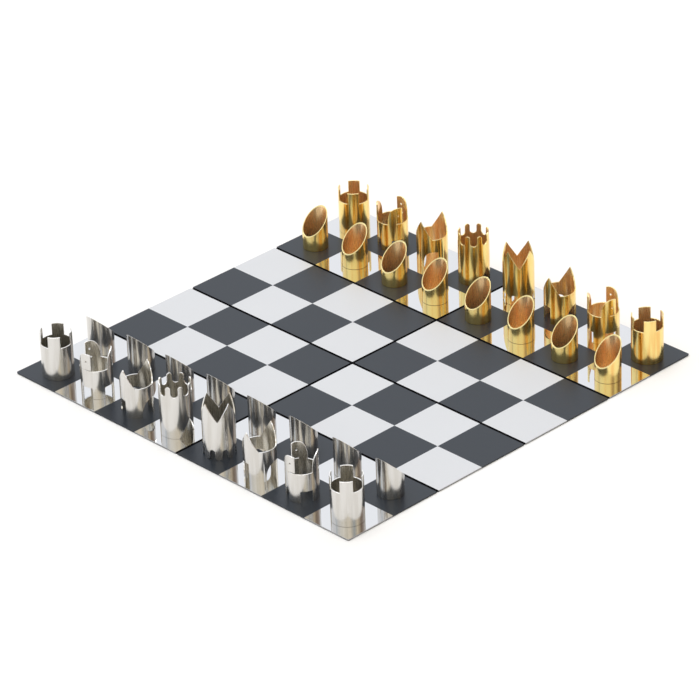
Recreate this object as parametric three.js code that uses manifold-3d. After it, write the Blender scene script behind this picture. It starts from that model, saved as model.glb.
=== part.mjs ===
/**
 * Chess set with board.
 *
 * Thirty-two chessmen, every one a short length of thin-walled metal tube, on a
 * board of eight loose two-layer panels. The chessmen carry no added parts: each
 * is told apart by the outline cut into its top and bottom edge. Rook, knight,
 * bishop, queen and king come from one tube, and the bottom edge of each is the
 * exact counterpart of the top edge of the one before it, so that the five can
 * stand on each other as one column. A pawn is a narrower tube with one slanted
 * cut, and fits inside the others.
 *
 * Millimetres. The origin is on the table under the middle of the board, +X runs
 * along the ranks from the a file to the h file, +Y runs from the silver side to
 * the gold side and +Z is up.
 */
import * as THREE from 'three';
import { mergeVertices } from 'three/addons/utils/BufferGeometryUtils.js';
import Module from 'manifold-3d';

const wasm = await Module();
wasm.setup();

// ---------------------------------------------------------------- board
const SQUARE = 45;            // side of one square
const SEAM = 1.5;             // gap between two neighbouring panels
const PANEL_FILES = 4;        // squares along one panel
const PANEL_RANKS = 2;        // squares across one panel
const BOARD_CORNER_R = 1.4;   // rounded corner of the whole board
const SEAM_CORNER_R = 0.6;    // panel corner that lies on a seam
const PLATE_T = 0.8;          // polished metal sheet
const BACKING_T = 0.5;        // black sheet glued under it
const PLATE_RELIEF = 0.35;    // how far a plate stops short of its panel's edge at a seam
const BACKING_LEDGE = 0.6;    // how far the backing stands out past that edge at a seam
const BACKING_INSET = 0.3;    // how far it stays back from the edge of the board
const BOARD_TOP = PLATE_T + BACKING_T;
const PANEL_X = PANEL_FILES * SQUARE;
const PANEL_Y = PANEL_RANKS * SQUARE;
const BOARD_X = 2 * PANEL_X + SEAM;
const BOARD_Y = 4 * PANEL_Y + 3 * SEAM;

// ---------------------------------------------------------------- tubes
const TUBE_R = 12.5;          // outer radius of the big tube
const TUBE_WALL = 0.9;
const PAWN_R = 10.3;          // outer radius of the pawn tube
const PAWN_WALL = 0.8;
const TUBE_SIDES = 32;
const PAWN_SIDES = 28;

// ---------------------------------------------------------------- cut depths
const ROOK_SHOULDER = 27.8;   // floor of the gaps between the battlements
const CRENEL = 9.5;           // height of a battlement
const KNIGHT_SHOULDER = 23.8; // ring that carries the horse heads
const HEAD_FACE = 13.6;       // height of a horse head at its straight face
const HEAD_TOP = 14.2;        // height of its forelock
const BISHOP_SHOULDER = 24.8;
const MITRE = 14.8;           // height of a bishop's peak
const QUEEN_SHOULDER = 34.9;  // floor of the scallops
const SCALLOP = 8.5;          // height of a queen's rounded tooth
const TOOTH_HALF = 9.75;      // half the width of that tooth in degrees
const KING_SHOULDER = 31.5;   // foot of the V notches
const CROWN = 14.4;           // height of a king's peak
const PAWN_HIGH = 32.7;       // long side of the slanted cut
const PAWN_LOW = 12.1;        // short side
const EYE_R = 0.85;           // through hole for a horse's eye
const EYE_RISE = 7.6;         // its height over the ring
const EYE_ARC = 18;           // its place behind the straight face, in degrees
const MOUTH_H = 0.9;          // slot that frees a horse's jaw from the ring
const MOUTH_ARC = 27;         // its length in degrees
const HEAD_ARC = 58;          // width of a horse head in degrees
const CREST_ARC = 14;         // from the straight face to the forelock, in degrees
const MANE_FULLNESS = 2.6;    // exponent of the mane's arc, 2 is an ellipse

// ---------------------------------------------------------------- turns of the cuts
const FACE_TURN = 6.5;        // first horse's face against the legs below it
const PEAK_TURN = -6.5;       // bishop's peaks against its legs
const TEETH_TURN = -9;        // queen's scallops against its arches
const HALF_STEP = 22.5;       // half the pitch of eight teeth, in degrees

const DEG = Math.PI / 180;
const OVER = 3;               // how far a cutter runs past an open edge

// ---------------------------------------------------------------- solids

/** Closed three.js geometry to a manifold solid. */
function solidOf(geometry) {
  const bare = geometry.index ? geometry.toNonIndexed() : geometry.clone();
  bare.deleteAttribute('normal');
  bare.deleteAttribute('uv');
  const merged = mergeVertices(bare, 1e-5);
  return new wasm.Manifold(new wasm.Mesh({
    numProp: 3,
    vertProperties: new Float32Array(merged.attributes.position.array),
    triVerts: new Uint32Array(merged.index.array),
  }));
}

/** Manifold solid back to a three.js geometry. */
function geometryOf(solid) {
  const mesh = solid.getMesh();
  const geometry = new THREE.BufferGeometry();
  geometry.setAttribute('position', new THREE.BufferAttribute(new Float32Array(mesh.vertProperties), 3));
  geometry.setIndex(new THREE.BufferAttribute(new Uint32Array(mesh.triVerts), 1));
  geometry.computeVertexNormals();
  return geometry;
}

/** Straight length of tube standing on z = 0. */
function tube(radius, wall, height, sides) {
  const section = [
    new THREE.Vector2(radius, 0),
    new THREE.Vector2(radius, height),
    new THREE.Vector2(radius - wall, height),
    new THREE.Vector2(radius - wall, 0),
    new THREE.Vector2(radius, 0),
  ];
  return new THREE.LatheGeometry(section, sides).rotateX(Math.PI / 2);
}

/**
 * Radial cutter through the tube wall. The outline is drawn on the unrolled
 * tube: first coordinate degrees counter-clockwise seen from above, second
 * coordinate height, corners counter-clockwise seen from outside.
 */
function radialCutter(outline, radius) {
  const flat = outline.map(([a, z]) => new THREE.Vector2(a, z));
  if (THREE.ShapeUtils.isClockWise(flat)) flat.reverse();
  const caps = THREE.ShapeUtils.triangulateShape(flat, []);
  const near = radius * 0.25;
  const far = radius * 3.2;
  const positions = [];
  for (const r of [near, far]) {
    for (const p of flat) positions.push(r * Math.cos(p.x * DEG), r * Math.sin(p.x * DEG), p.y);
  }
  const n = flat.length;
  const index = [];
  for (const [a, b, c] of caps) {
    index.push(a + n, b + n, c + n);
    index.push(a, c, b);
  }
  for (let i = 0; i < n; i++) {
    const j = (i + 1) % n;
    index.push(i, j, j + n, i, j + n, i + n);
  }
  const geometry = new THREE.BufferGeometry();
  geometry.setAttribute('position', new THREE.BufferAttribute(new Float32Array(positions), 3));
  geometry.setIndex(index);
  return solidOf(geometry);
}

/** Tube with a list of unrolled outlines cut away. */
function cutTube(height, outlines) {
  let solid = solidOf(tube(TUBE_R, TUBE_WALL, height, TUBE_SIDES));
  for (const outline of outlines) solid = solid.subtract(radialCutter(outline, TUBE_R));
  return geometryOf(solid);
}

// ---------------------------------------------------------------- outlines
const span = (count, step) => Array.from({ length: count }, (_, i) => i * step);
const shift = (outline, degrees) => outline.map(([a, z]) => [a + degrees, z]);
const arcDegrees = (mm) => mm / TUBE_R / DEG;

/** Rectangle centred on an angle. */
const block = (centre, width, z0, z1) => [
  [centre - width / 2, z0], [centre + width / 2, z0],
  [centre + width / 2, z1], [centre - width / 2, z1],
];

/**
 * Left half of a horse head from its forelock to the foot of its mane, as
 * points of a fuller-than-round arc. The straight face stands at 0 degrees and
 * the mane falls towards negative angles.
 */
function mane(base) {
  const reach = HEAD_ARC - CREST_ARC;
  const points = [[0, base + HEAD_FACE], [-CREST_ARC, base + HEAD_TOP]];
  const power = 2 / MANE_FULLNESS;
  for (const t of [28, 50, 72]) {
    points.push([
      -CREST_ARC - reach * Math.sin(t * DEG) ** power,
      base + HEAD_TOP * Math.cos(t * DEG) ** power,
    ]);
  }
  points.push([-HEAD_ARC, base]);
  return points;
}

/** Closed outline of one horse head, open below its base line. */
const head = (base) => [[0, base - OVER], ...mane(base), [-HEAD_ARC, base - OVER]];

/** What is cut away between one horse head and the next, 120 degrees on. */
function headGap(base) {
  const lid = base + HEAD_TOP + OVER;
  const back = shift(mane(base).reverse().slice(1), 120);
  return [[0, base], [120 - HEAD_ARC, base], ...back, [120, lid], [0, lid]];
}

/** Scallop between two rounded teeth whose crowns stand half a step to each side. */
function scallop(base, depth, lid) {
  const bowl = HALF_STEP - TOOTH_HALF;
  const bowlRise = bowl * DEG * TUBE_R;
  const crownRise = TOOTH_HALF * DEG * TUBE_R;
  const right = [];
  for (const t of [22, 65]) {
    right.push([bowl * Math.sin(t * DEG), base + bowlRise * (1 - Math.cos(t * DEG))]);
  }
  right.push([bowl, base + bowlRise]);
  for (const t of [0, 30, 62]) {
    const crown = HALF_STEP - TOOTH_HALF * Math.cos(t * DEG);
    right.push([crown, base + depth - crownRise * (1 - Math.sin(t * DEG))]);
  }
  right.push([HALF_STEP, base + depth], [HALF_STEP, lid]);
  return [...right, ...right.map(([a, z]) => [-a, z]).reverse()];
}

/** One rounded tooth, the shape that a scalloped top pushes into the tube above it. */
function tooth(depth, foot) {
  const bowl = HALF_STEP - TOOTH_HALF;
  const bowlRise = bowl * DEG * TUBE_R;
  const crownRise = TOOTH_HALF * DEG * TUBE_R;
  const right = [];
  for (const t of [22, 55, 90]) {
    right.push([HALF_STEP - bowl * Math.sin(t * DEG), bowlRise * (1 - Math.cos(t * DEG))]);
  }
  for (const t of [0, 30, 65]) {
    right.push([TOOTH_HALF * Math.cos(t * DEG), depth - crownRise * (1 - Math.sin(t * DEG))]);
  }
  const toe = right[0][0];
  return [[-toe, foot], [toe, foot], ...right, ...right.map(([a, z]) => [-a, z]).reverse()];
}

// ---------------------------------------------------------------- chessmen

/** Four square battlements over a plain foot. */
function rookGeometry() {
  const height = ROOK_SHOULDER + CRENEL;
  return cutTube(height, span(4, 90).map((a) => block(a + 45, 45, ROOK_SHOULDER, height + OVER)));
}

/** Three horse heads over a ring that stands on four square legs. */
function knightGeometry() {
  const height = KNIGHT_SHOULDER + HEAD_TOP;
  const outlines = [];
  for (const a of span(4, 90)) outlines.push(block(a + 45, 45, -OVER, CRENEL));
  for (const a of span(3, 120)) {
    const face = a + FACE_TURN;
    outlines.push(shift(headGap(KNIGHT_SHOULDER), face));
    outlines.push([
      [face - MOUTH_ARC, KNIGHT_SHOULDER], [face + 2, KNIGHT_SHOULDER],
      [face + 2, KNIGHT_SHOULDER + MOUTH_H], [face - MOUTH_ARC, KNIGHT_SHOULDER + MOUTH_H],
    ]);
    outlines.push(Array.from({ length: 6 }, (_, i) => [
      face - EYE_ARC + arcDegrees(EYE_R) * Math.cos(i * 60 * DEG),
      KNIGHT_SHOULDER + EYE_RISE + EYE_R * Math.sin(i * 60 * DEG),
    ]));
  }
  return cutTube(height, outlines);
}

/** Two pointed peaks over three legs that straddle a knight's heads. */
function bishopGeometry() {
  const height = BISHOP_SHOULDER + MITRE;
  const lid = height + OVER;
  const outlines = [];
  for (const a of span(3, 120)) outlines.push(shift(head(0), a));
  const rising = [[0, height], [45, BISHOP_SHOULDER], [92, BISHOP_SHOULDER], [92, lid], [0, lid]];
  const falling = [[88, BISHOP_SHOULDER], [135, BISHOP_SHOULDER], [180, height], [180, lid], [88, lid]];
  for (const a of span(2, 180)) {
    outlines.push(shift(rising, a + PEAK_TURN), shift(falling, a + PEAK_TURN));
  }
  return cutTube(height, outlines);
}

/** Eight rounded teeth over two legs that straddle a bishop's peaks. */
function queenGeometry() {
  const height = QUEEN_SHOULDER + SCALLOP;
  const outlines = [];
  for (const a of span(2, 180)) {
    outlines.push([[a - 45, -OVER], [a + 45, -OVER], [a + 45, 0], [a, MITRE], [a - 45, 0]]);
  }
  const hollow = scallop(QUEEN_SHOULDER, SCALLOP, height + OVER);
  for (const a of span(8, 45)) outlines.push(shift(hollow, a + TEETH_TURN));
  return cutTube(height, outlines);
}

/** Four tall peaks over eight rounded feet that straddle a queen's teeth. */
function kingGeometry() {
  const height = KING_SHOULDER + CROWN;
  const outlines = [];
  for (const a of span(8, 45)) outlines.push(shift(tooth(SCALLOP, -OVER), a + HALF_STEP));
  const lid = height + OVER;
  const notch = [[-45, height], [0, KING_SHOULDER], [45, height], [45, lid], [-45, lid]];
  for (const a of span(4, 90)) outlines.push(shift(notch, a));
  return cutTube(height, outlines);
}

/** Narrow tube with one slanted cut whose high side is at 90 degrees. */
function pawnGeometry() {
  const solid = solidOf(tube(PAWN_R, PAWN_WALL, PAWN_HIGH, PAWN_SIDES));
  const reach = PAWN_R * 3;
  const slope = (PAWN_HIGH - PAWN_LOW) / (2 * PAWN_R);
  const middle = (PAWN_HIGH + PAWN_LOW) / 2;
  const wedge = new THREE.Shape([
    new THREE.Vector2(-reach, middle - slope * reach),
    new THREE.Vector2(reach, middle + slope * reach),
    new THREE.Vector2(reach, middle + slope * reach + 80),
    new THREE.Vector2(-reach, middle + slope * reach + 80),
  ]);
  const cutter = new THREE.ExtrudeGeometry(wedge, { depth: 2 * reach, bevelEnabled: false });
  cutter.translate(0, 0, -reach).rotateX(Math.PI / 2).rotateZ(Math.PI / 2);
  return geometryOf(solid.subtract(solidOf(cutter)));
}

// ---------------------------------------------------------------- panels

/**
 * Flat sheet of one panel, on z = 0 and centred on the panel. It reaches past
 * the panel's outline by seamReach where a neighbour lies and by edgeReach at
 * the edge of the board.
 */
function panelGeometry(thickness, column, row, seamReach, edgeReach) {
  const outer = { left: column === 0, right: column === 1, near: row === 0, far: row === 3 };
  const reach = (side) => (outer[side] ? edgeReach : seamReach);
  const shape = new THREE.Shape();
  const corners = [['right', 'near'], ['right', 'far'], ['left', 'far'], ['left', 'near']];
  for (const [i, [h, v]] of corners.entries()) {
    const r = outer[h] && outer[v] ? BOARD_CORNER_R : SEAM_CORNER_R;
    const x = (PANEL_X / 2 + reach(h) - r) * (h === 'right' ? 1 : -1);
    const y = (PANEL_Y / 2 + reach(v) - r) * (v === 'far' ? 1 : -1);
    shape.absarc(x, y, r, (i - 1) * Math.PI / 2, i * Math.PI / 2);
  }
  return new THREE.ExtrudeGeometry(shape, { depth: thickness, bevelEnabled: false, curveSegments: 3 });
}

/** Middle of a square. File and rank count from 0 at the a file and the first rank. */
function squareCentre(file, rank) {
  return [
    -BOARD_X / 2 + SQUARE * (file + 0.5) + SEAM * Math.floor(file / PANEL_FILES),
    -BOARD_Y / 2 + SQUARE * (rank + 0.5) + SEAM * Math.floor(rank / PANEL_RANKS),
  ];
}

// ---------------------------------------------------------------- assembly
const FINISH = {
  polishedSteel: { color: 0xd9dadc, roughness: 0.06, metalness: 1 },
  blackBacking: { color: 0x1b1b1d, roughness: 0.55, metalness: 0 },
  silver: { color: 0xcfcac0, roughness: 0.16, metalness: 1 },
  gold: { color: 0xd9a441, roughness: 0.16, metalness: 1 },
};

const chessSet = new THREE.Group();

/** Adds one named mesh with a material of its own. */
function add(parent, name, geometry, finish, position = [0, 0, 0], turn = 0) {
  const mesh = new THREE.Mesh(geometry, new THREE.MeshStandardMaterial(finish));
  mesh.name = name;
  mesh.position.set(...position);
  mesh.rotation.z = turn * DEG;
  parent.add(mesh);
}

for (let row = 0; row < 4; row++) {
  for (const [column, side] of ['left', 'right'].entries()) {
    const panel = new THREE.Group();
    panel.position.set(
      (column - 0.5) * (PANEL_X + SEAM),
      -BOARD_Y / 2 + PANEL_Y / 2 + row * (PANEL_Y + SEAM),
      0,
    );
    const backing = panelGeometry(BACKING_T, column, row, BACKING_LEDGE, -BACKING_INSET);
    add(panel, `panel_${row + 1}_${side}_backing`, backing, FINISH.blackBacking);
    const plate = panelGeometry(PLATE_T, column, row, -PLATE_RELIEF, 0);
    add(panel, `panel_${row + 1}_${side}_plate`, plate, FINISH.polishedSteel, [0, 0, BACKING_T]);
    chessSet.add(panel);
  }
}

const rook = rookGeometry();
const knight = knightGeometry();
const bishop = bishopGeometry();
const queen = queenGeometry();
const king = kingGeometry();
const pawn = pawnGeometry();

// Each chessman of the back ranks: name, geometry, how far it is turned about
// its own axis, and how far off the middle of its square it is set down.
const BACK_RANK = {
  silver: [
    ['rook_left', rook, -48, [3, -1.8]], ['knight_left', knight, 53.5, [1.6, -0.3]],
    ['bishop_left', bishop, -85, [0.6, 0.5]], ['queen', queen, 9, [0, 0]], ['king', king, -46, [0, 0]],
    ['bishop_right', bishop, -85, [-0.3, -1.1]], ['knight_right', knight, -74, [-1.2, -0.9]],
    ['rook_right', rook, -45.5, [1.4, -2]],
  ],
  gold: [
    ['rook_left', rook, -46.5, [1.5, -2.5]], ['knight_left', knight, 109, [-0.7, -1.5]],
    ['bishop_left', bishop, 97, [-2.3, -0.6]], ['queen', queen, 9, [-1.6, -0.3]],
    ['king', king, -42, [0, 0]], ['bishop_right', bishop, -83, [0, -1.3]],
    ['knight_right', knight, 116, [1.1, -1.7]], ['rook_right', rook, -38, [2.2, -2.9]],
  ],
};
const PAWN_SETTING = {
  silver: [[0, 0], [0, 0.9], [0, 0], [-0.4, 0.6], [-0.7, -1], [-1.1, -1], [0, -1.3], [-0.9, -1.3]],
  gold: [[0, 0], [0, 0], [0, -0.8], [-0.9, 0], [-0.8, 0], [0, 0], [0.9, -0.3], [1.1, -0.9]],
};

/** Where a chessman stands: a square's middle, a small offset, and the board's top. */
function standing(file, rank, [dx, dy]) {
  const [x, y] = squareCentre(file, rank);
  return [x + dx, y + dy, BOARD_TOP];
}

for (const [colour, rank, pawnRank, pawnTurn] of [['silver', 0, 1, 180], ['gold', 7, 6, 0]]) {
  for (const [file, [name, geometry, turn, offset]] of BACK_RANK[colour].entries()) {
    add(chessSet, `${colour}_${name}`, geometry, FINISH[colour], standing(file, rank, offset), turn);
  }
  for (const [file, offset] of PAWN_SETTING[colour].entries()) {
    const place = standing(file, pawnRank, offset);
    add(chessSet, `${colour}_pawn_${file + 1}`, pawn, FINISH[colour], place, pawnTurn);
  }
}

export default chessSet;
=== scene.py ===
"""Chess set with board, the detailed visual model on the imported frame.

Every chessman is a length of thin metal tube. Its wall is drawn flat as a cut
sheet, rolled up by a Geometry Nodes tree, and its cut edges are eased. The
board is eight loose panels: a polished metal plate with dark squares coated on
it, glued to a black backing sheet. The plates of the two end rows are polished
like a mirror, and those between them are satin.
"""
from __future__ import annotations

import logging
import math
from dataclasses import dataclass, field
from enum import Enum
from typing import Callable, Iterable, Sequence

import bmesh
import bpy
from mathutils import Matrix, Vector


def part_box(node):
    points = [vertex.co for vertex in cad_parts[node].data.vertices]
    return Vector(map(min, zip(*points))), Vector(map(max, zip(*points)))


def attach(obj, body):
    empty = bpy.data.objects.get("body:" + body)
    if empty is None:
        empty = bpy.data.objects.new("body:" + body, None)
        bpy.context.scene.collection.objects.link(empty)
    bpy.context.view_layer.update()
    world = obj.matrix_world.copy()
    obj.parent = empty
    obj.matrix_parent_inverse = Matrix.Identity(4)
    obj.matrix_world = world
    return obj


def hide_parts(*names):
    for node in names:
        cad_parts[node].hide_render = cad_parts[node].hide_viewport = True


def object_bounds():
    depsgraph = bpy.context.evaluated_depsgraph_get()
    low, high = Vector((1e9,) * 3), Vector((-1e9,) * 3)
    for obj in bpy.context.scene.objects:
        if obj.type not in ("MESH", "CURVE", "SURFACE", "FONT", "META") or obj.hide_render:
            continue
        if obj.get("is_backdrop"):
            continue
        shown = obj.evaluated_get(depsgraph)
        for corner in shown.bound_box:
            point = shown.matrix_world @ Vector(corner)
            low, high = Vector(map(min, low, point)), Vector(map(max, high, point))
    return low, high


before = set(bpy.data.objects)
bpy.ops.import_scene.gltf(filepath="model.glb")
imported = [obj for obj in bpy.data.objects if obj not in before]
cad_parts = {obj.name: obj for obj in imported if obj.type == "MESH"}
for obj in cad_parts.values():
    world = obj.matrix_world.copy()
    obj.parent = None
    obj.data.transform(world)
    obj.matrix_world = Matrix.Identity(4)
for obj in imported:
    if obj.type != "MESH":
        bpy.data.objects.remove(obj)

logging.basicConfig(level=logging.INFO, format="%(levelname)s %(name)s: %(message)s")
log = logging.getLogger("chess_set")

Point = tuple[float, float]
Place = tuple[float, float, float]
Colour = tuple[float, float, float]

MM = 0.001
FULL_TURN = 360.0


# --------------------------------------------------------------------------
# What the set is made of
# --------------------------------------------------------------------------
class Colourway(Enum):
    """The two sides."""

    SILVER = "silver"
    GOLD = "gold"


class Man(Enum):
    """The six kinds of chessman."""

    ROOK = "rook"
    KNIGHT = "knight"
    BISHOP = "bishop"
    QUEEN = "queen"
    KING = "king"
    PAWN = "pawn"


class FaceKind(Enum):
    """Where a face of a tube belongs. All but the last are also material numbers."""

    WALL = 0
    CUT = 1
    BORE = 2
    # Rims and end face at the foot, painted dark as shade where the tube stands on the board.
    SHADED_FOOT = 3
    EASED = 4


@dataclass(frozen=True)
class TubeStock:
    """Tube that chessmen are cut from, in millimetres.

    Columns is how many flats go round it, and ease how far its rims are rounded.
    """

    radius: float
    wall: float
    columns: int
    ease: float


@dataclass(frozen=True)
class CutDepths:
    """Sizes of the cuts: heights in millimetres, arcs, pitches and turns in degrees."""

    crenel: float = 9.5
    crenel_arc: float = 45.0
    head_face: float = 13.6
    head_top: float = 14.2
    head_arc: float = 58.0
    head_fullness: float = 2.6
    head_pitch: float = 120.0
    heads_turn: float = 6.5
    crest_arc: float = 14.0
    mouth_height: float = 0.9
    mouth_arc: float = 27.0
    mouth_over: float = 1.0
    eye_radius: float = 0.85
    eye_rise: float = 7.6
    eye_arc: float = 18.0
    mitre: float = 14.8
    mitres_turn: float = -6.5
    valley: tuple[float, float, float] = (45.0, 135.0, 180.0)
    arch_half: float = 45.0
    scallop: float = 8.5
    tooth_half: float = 9.75
    half_pitch: float = 22.5
    teeth_turn: float = -9.0
    crown: float = 14.4
    pawn_slope: float = 1.0


@dataclass(frozen=True)
class Placement:
    """One chessman: its CAD node, its kind, its side and its turn in degrees."""

    node: str
    man: Man
    side: Colourway
    turn: float


MAIN_TUBE = TubeStock(radius=12.5, wall=0.9, columns=240, ease=0.14)
PAWN_TUBE = TubeStock(radius=10.3, wall=0.8, columns=200, ease=0.20)
CUTS = CutDepths()

# In millimetres: rims below the foot line, where the tube stands on the board, are painted
# dark as shade; a pawn's bore is level below FOOT_BAND, and cuts run OVER the end of the tube.
SHADED_FOOT_LINE = 0.3
FOOT_BAND = 1.0
OVER = 3.0
# Corners of the cuts lie on whole steps of CUT_PITCH degrees.
CUT_PITCH = 0.5

BACK_RANK: tuple[tuple[str, Man], ...] = (
    ("rook_left", Man.ROOK),
    ("knight_left", Man.KNIGHT),
    ("bishop_left", Man.BISHOP),
    ("queen", Man.QUEEN),
    ("king", Man.KING),
    ("bishop_right", Man.BISHOP),
    ("knight_right", Man.KNIGHT),
    ("rook_right", Man.ROOK),
)
PAWN_COUNT = 8
TURNS: dict[Colourway, tuple[float, ...]] = {
    Colourway.SILVER: (-48, 53.5, -85, 9, -46, -85, -74, -45.5),
    Colourway.GOLD: (-46.5, 109, 97, 9, -42, -83, 116, -38),
}
PAWN_TURN = {Colourway.SILVER: 180.0, Colourway.GOLD: 0.0}


def placements() -> list[Placement]:
    """Every chessman of both sides.

    Returns:
        Thirty-two placements, each side's back rank before its pawns.
    """
    men: list[Placement] = []
    for side in Colourway:
        for (name, man), turn in zip(BACK_RANK, TURNS[side]):
            men.append(Placement(f"{side.value}_{name}", man, side, turn))
        for number in range(1, PAWN_COUNT + 1):
            node = f"{side.value}_pawn_{number}"
            men.append(Placement(node, Man.PAWN, side, PAWN_TURN[side]))
    return men


# --------------------------------------------------------------------------
# Node graphs
# --------------------------------------------------------------------------
class Wire:
    """One output socket of a node, with arithmetic that adds Math nodes."""

    def __init__(self, graph: Graph, socket: bpy.types.NodeSocket | None) -> None:
        """Keeps the graph and the socket, which is None after an output node."""
        self.graph = graph
        self.socket = socket

    def _math(self, operation: str, other: Wire | float | None = None, swap: bool = False) -> Wire:
        """Adds a Math node that starts from this value.

        Args:
            operation: The node's operation.
            other: The second value, if the operation takes two.
            swap: Whether the second value goes first.

        Returns:
            The result.
        """
        values = [self] if other is None else [self, other]
        if swap:
            values.reverse()
        return self.graph.node("ShaderNodeMath", values, operation=operation)

    def __add__(self, other: Wire | float) -> Wire:
        """Sum."""
        return self._math("ADD", other)

    __radd__ = __add__

    def __mul__(self, other: Wire | float) -> Wire:
        """Product."""
        return self._math("MULTIPLY", other)

    __rmul__ = __mul__

    def __sub__(self, other: Wire | float) -> Wire:
        """This value less the other."""
        return self._math("SUBTRACT", other)

    def __rsub__(self, other: Wire | float) -> Wire:
        """The other value less this one."""
        return self._math("SUBTRACT", other, swap=True)

    def __truediv__(self, other: Wire | float) -> Wire:
        """This value divided by the other."""
        return self._math("DIVIDE", other)

    def __rtruediv__(self, other: Wire | float) -> Wire:
        """The other value divided by this one."""
        return self._math("DIVIDE", other, swap=True)

    def power(self, other: float) -> Wire:
        """This value raised to a power."""
        return self._math("POWER", other)

    def cosine(self) -> Wire:
        """Cosine of this angle in radians."""
        return self._math("COSINE")

    def sine(self) -> Wire:
        """Sine of this angle in radians."""
        return self._math("SINE")

    def bearing(self, front: Wire) -> Wire:
        """Angle in radians of this length to the right and that length to the front."""
        return self._math("ARCTAN2", front)

    def floored(self) -> Wire:
        """This value rounded down."""
        return self._math("FLOOR")

    def above(self, other: float) -> Wire:
        """One where this value is larger, else zero."""
        return self._math("GREATER_THAN", other)

    def either(self, other: Wire) -> Wire:
        """One where this or the other value is one, else zero."""
        return (self + other).above(0.5)

    def even(self) -> Wire:
        """One where this whole number is even, else zero."""
        return self._math("FLOORED_MODULO", 2.0)._math("LESS_THAN", 0.5)


class Graph:
    """Makes nodes in one node tree, for shaders and geometry alike."""

    NODES_A_ROW = 12
    NODE_SPACE = (220, -260)

    def __init__(self, tree: bpy.types.NodeTree) -> None:
        """Starts on an empty tree."""
        self.tree = tree
        self.count = 0

    def node(
        self,
        kind: str,
        inputs: Sequence | dict = (),
        output: int | str = 0,
        stops: Sequence[tuple[float, Colour]] = (),
        **settings: object,
    ) -> Wire:
        """Adds a node, sets its properties and fills or links its inputs.

        Args:
            kind: The node's bl_idname.
            inputs: Values or wires by position, or by socket name or number in a
                dict. None leaves a socket alone.
            output: The output socket to hand back.
            stops: Places from 0 to 1 and colours of a colour ramp.
            **settings: Properties of the node.

        Returns:
            The chosen output as a wire.
        """
        node = self.tree.nodes.new(kind)
        row, column = divmod(self.count, self.NODES_A_ROW)
        node.location = (self.NODE_SPACE[0] * column, self.NODE_SPACE[1] * row)
        self.count += 1
        for name, value in settings.items():
            setattr(node, name, value)
        for i, (place, colour) in enumerate(stops):
            elements = node.color_ramp.elements
            stop = elements[i] if i < len(elements) else elements.new(place)
            stop.position = place
            stop.color = (*colour, 1.0)
        pairs = inputs.items() if isinstance(inputs, dict) else enumerate(inputs)
        for key, value in pairs:
            if isinstance(value, Wire):
                self.tree.links.new(value.socket, node.inputs[key])
            elif value is not None:
                node.inputs[key].default_value = value
        return Wire(self, node.outputs[output] if len(node.outputs) else None)

    def outlet(self, wire: Wire, name: str) -> Wire:
        """Another output of the node that a wire comes from."""
        return Wire(self, wire.socket.node.outputs[name])

    def split(self, vector: Wire) -> tuple[Wire, Wire, Wire]:
        """X, Y and Z of a vector."""
        first = self.node("ShaderNodeSeparateXYZ", [vector])
        return first, self.outlet(first, "Y"), self.outlet(first, "Z")

    def join(self, x: Wire | float, y: Wire | float, z: Wire | float) -> Wire:
        """A vector from three numbers."""
        return self.node("ShaderNodeCombineXYZ", [x, y, z])

    def noise(self, vector: Wire, scale: float, detail: float, rough: float = 0.5) -> Wire:
        """Grey noise from 0 to 1."""
        inputs = {"Vector": vector, "Scale": scale, "Detail": detail, "Roughness": rough}
        return self.node("ShaderNodeTexNoise", inputs)

    def ease_in(self, value: Wire, low: float, high: float) -> Wire:
        """Zero below the low value and one above the high one, smooth between them."""
        inputs = {0: value, 1: low, 2: high}
        return self.node("ShaderNodeMapRange", inputs, interpolation_type="SMOOTHSTEP")

    def blend(self, factor: Wire, first: Wire | Colour, second: Colour) -> Wire:
        """Colour between two colours.

        Args:
            factor: 0 gives the first colour, 1 the second.
            first: A colour or a wire that carries one.
            second: A colour.

        Returns:
            The blended colour.
        """
        start = first if isinstance(first, Wire) else (*first, 1.0)
        inputs = {0: factor, 6: start, 7: (*second, 1.0)}
        return self.node("ShaderNodeMix", inputs, output=2, data_type="RGBA")


# --------------------------------------------------------------------------
# Finishes
# --------------------------------------------------------------------------
@dataclass(frozen=True)
class TubeFinish:
    """Polished tube with a fine grain drawn along it."""

    name: str
    light: Colour
    deep: Colour
    roughness: float = 0.18
    roughness_span: float = 0.05
    grain_bump: float = 0.05
    anisotropic: float = 0.6
    metallic: float = 1.0


@dataclass(frozen=True)
class SheetFinish:
    """A flat surface, cut edge or floor."""

    name: str
    light: Colour
    deep: Colour
    roughness: float
    roughness_span: float = 0.10
    metallic: float = 0.0
    bump: float = 0.0
    ior: float = 1.5


@dataclass(frozen=True)
class TubeNoise:
    """Noise on unrolled tube: cells a metre round it and along it, its layer and detail.

    The shares say how far it changes the gloss and the tone.
    """

    around: float
    along: float
    layer: float
    detail: float
    rough: float
    gloss_share: float
    tone_share: float


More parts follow.
